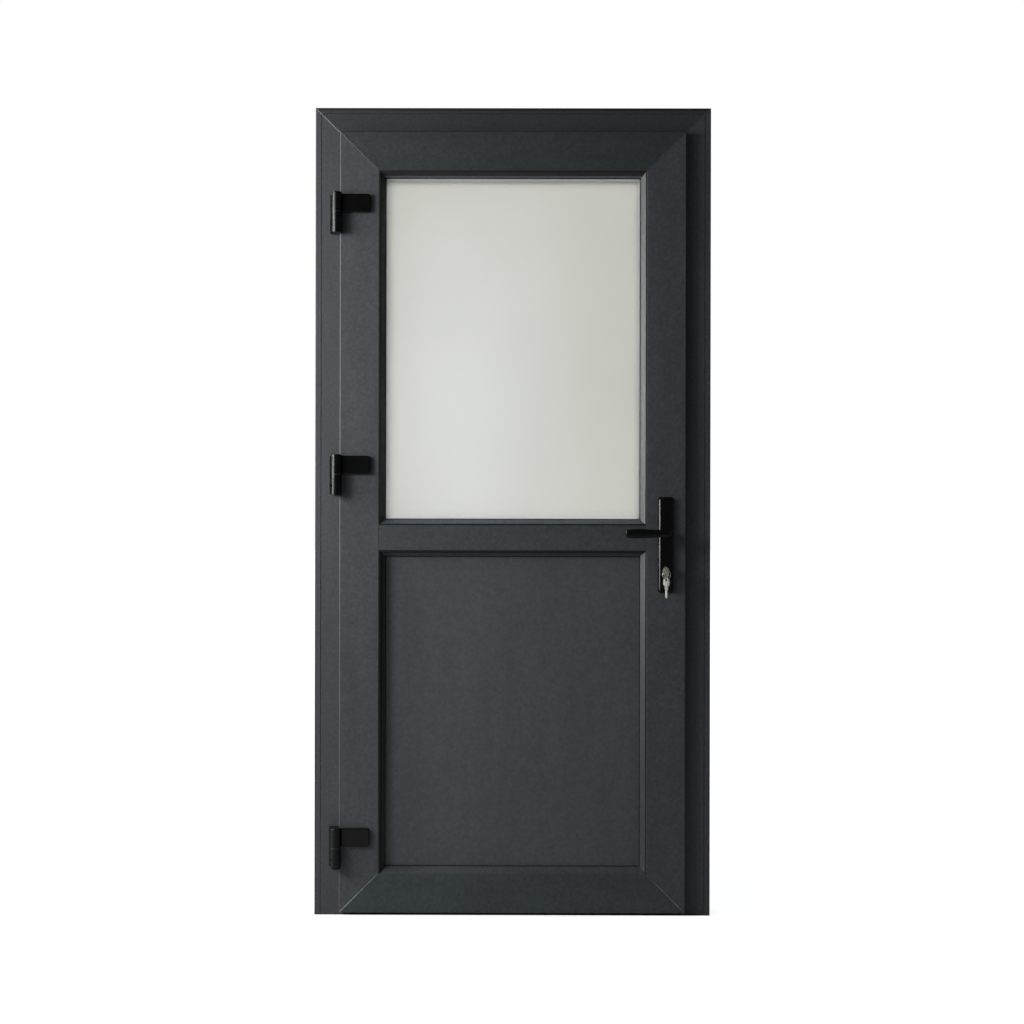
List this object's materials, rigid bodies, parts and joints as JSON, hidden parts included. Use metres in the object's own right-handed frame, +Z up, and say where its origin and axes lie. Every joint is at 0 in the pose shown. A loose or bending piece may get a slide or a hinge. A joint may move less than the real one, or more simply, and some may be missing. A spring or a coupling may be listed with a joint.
{
  "type": "half-glazed door with frame",
  "caption": "Anthracite plastic door in its frame with an opal glass upper light, plain lower panel, black surface hinges, black lever handles, lock and keys",
  "frame": {"origin": "middle of the threshold's underside, half way through the frame's depth", "axes": "+X right as seen from the opening side, +Y from the opening side through the door, +Z up"},
  "size_m": [0.98, 0.184, 2],
  "materials": {
    "foiled_pvc": "satin",
    "galvanised_steel": "satin",
    "zinc_screws": "satin",
    "black_hardware": "satin",
    "seal_rubber": "matte",
    "opal_glass": "satin",
    "mill_aluminium": "satin",
    "dark_aluminium": "satin",
    "hinge_nylon": "matte",
    "nickel_keys": "satin",
    "packer_plastic": "matte",
    "lock_steel": "satin"
  },
  "bodies": {
    "frame": {"frame_hinge_jamb": "foiled_pvc", "frame_lock_jamb": "foiled_pvc", "frame_head": "foiled_pvc", "frame_reinforcement": "galvanised_steel", "threshold": "dark_aluminium", "frame_seal": "seal_rubber", "lock_keep": "lock_steel", "keep_screws": "zinc_screws", "hinge_bottom_frame_leaf": "black_hardware", "hinge_middle_frame_leaf": "black_hardware", "hinge_top_frame_leaf": "black_hardware", "hinge_pins": "lock_steel", "hinge_foot_caps": "black_hardware", "frame_leaf_screws": "black_hardware"},
    "levers": {"front_lever": "black_hardware", "back_lever": "black_hardware", "spindle": "lock_steel", "lock_follower": "lock_steel"},
    "latch": {"latch_bolt": "lock_steel"},
    "deadbolt": {"dead_bolt": "lock_steel"},
    "keyed_plug": {"cylinder_plug": "nickel_keys", "key": "nickel_keys"},
    "spare": {"key_ring": "nickel_keys", "spare_key": "nickel_keys"},
    "sash": {"sash_hinge_stile": "foiled_pvc", "sash_lock_stile": "foiled_pvc", "sash_top_rail": "foiled_pvc", "sash_bottom_rail": "foiled_pvc", "sash_transom": "foiled_pvc", "sash_reinforcement": "galvanised_steel", "sash_seal": "seal_rubber", "glass_front_pane": "opal_glass", "glass_back_pane": "opal_glass", "glass_spacer": "mill_aluminium", "lower_panel": "foiled_pvc", "glass_side_beads": "foiled_pvc", "glass_level_beads": "foiled_pvc", "panel_side_beads": "foiled_pvc", "panel_level_beads": "foiled_pvc", "glass_seals": "seal_rubber", "panel_seals": "seal_rubber", "setting_blocks": "packer_plastic", "hinge_bottom_sash_leaf": "black_hardware", "hinge_middle_sash_leaf": "black_hardware", "hinge_top_sash_leaf": "black_hardware", "hinge_bushes": "hinge_nylon", "hinge_top_caps": "black_hardware", "hinge_covers": "black_hardware", "sash_leaf_screws": "zinc_screws", "front_backplate": "black_hardware", "back_backplate": "black_hardware", "backplate_screws": "zinc_screws", "lock_case": "lock_steel", "lock_faceplate": "lock_steel", "faceplate_screws": "zinc_screws", "cylinder_screw": "zinc_screws", "cylinder_body": "nickel_keys", "cylinder_rear_plug": "nickel_keys"}
  },
  "joints": [
    {"name": "door_swing", "type": "hinge", "parent": "frame", "child": "sash", "pos_m": [-0.433, -0.065, 1.114], "axis": [0, 0, -1], "range_deg": [0, 170]},
    {"name": "lever_turn", "type": "hinge", "parent": "sash", "child": "levers", "pos_m": [0.377, -0.013, 0.947], "axis": [0, -1, 0], "range_deg": [0, 40], "stiffness_Nm_per_rad": 1, "springref_deg": -45.84},
    {"name": "latch_slide", "type": "slide", "parent": "sash", "child": "latch", "axis": [-1, 0, 0], "range_m": [0, 0.0095]},
    {"name": "key_turn", "type": "hinge", "parent": "sash", "child": "keyed_plug", "pos_m": [0.377, -0.013, 0.855], "axis": [0, -1, 0], "range_deg": [-20, 700]},
    {"name": "bolt_slide", "type": "slide", "parent": "sash", "child": "deadbolt", "axis": [1, 0, 0], "range_m": [-0.00056, 0.01943]},
    {"name": "spare_swing", "type": "hinge", "parent": "keyed_plug", "child": "spare", "pos_m": [0.3758, -0.0855, 0.85829], "axis": [-0.9397, 0, -0.342], "range_deg": [-15, 60]}
  ],
  "couplings": [
    {"joint": "latch_slide", "follows": "lever_turn", "m_per_rad": 0.0136},
    {"joint": "bolt_slide", "follows": "key_turn", "m_per_rad": 0.00159}
  ]
}
